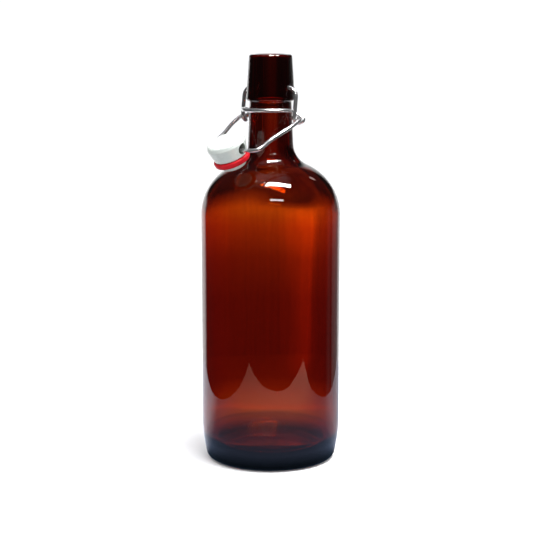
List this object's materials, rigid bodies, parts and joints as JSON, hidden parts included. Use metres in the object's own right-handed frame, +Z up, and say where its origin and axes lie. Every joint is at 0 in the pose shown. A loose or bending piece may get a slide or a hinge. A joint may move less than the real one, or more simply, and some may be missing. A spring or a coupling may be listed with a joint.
{
  "type": "swing top bottle",
  "caption": "Amber glass bottle with a swing top: a stopper and rubber gasket on a steel wire bail, held by a locking lever pivoted in the neck.",
  "frame": {"origin": "centre of the base, on the surface the bottle stands on", "axes": "+Z up the bottle's axis to the mouth; -Y is the side it is usually seen from, with the closure's front 38 degrees from -Y towards -X"},
  "size_m": [0.092, 0.092, 0.2693],
  "materials": {
    "amber_glass": "clear, polished",
    "steel_wire": "bright drawn wire",
    "white_stopper": "smooth, semi-gloss",
    "red_rubber": "matt, moulded"
  },
  "bodies": {
    "bottle": {"bottle": "amber_glass"},
    "lever": {"locking_lever": "steel_wire"},
    "bail": {"bail_wire": "steel_wire"},
    "stopper": {"stopper": "white_stopper", "gasket": "red_rubber"}
  },
  "joints": [
    {"name": "lever_pivot", "type": "hinge", "parent": "bottle", "child": "lever", "pos_m": [0, 0, 0.248], "axis": [-0.788, 0.6157, 0], "range_deg": [-3.5, 70]},
    {"name": "bail_swing", "type": "hinge", "parent": "lever", "child": "bail", "pos_m": [0.00055, 0.00071, 0.2286], "axis": [-0.788, 0.6157, 0], "range_deg": [-1, 50]},
    {"name": "stopper_turn", "type": "hinge", "parent": "bail", "child": "stopper", "pos_m": [-0.0245, -0.03136, 0.20988], "axis": [-0.788, 0.6157, 0], "continuous": true}
  ]
}
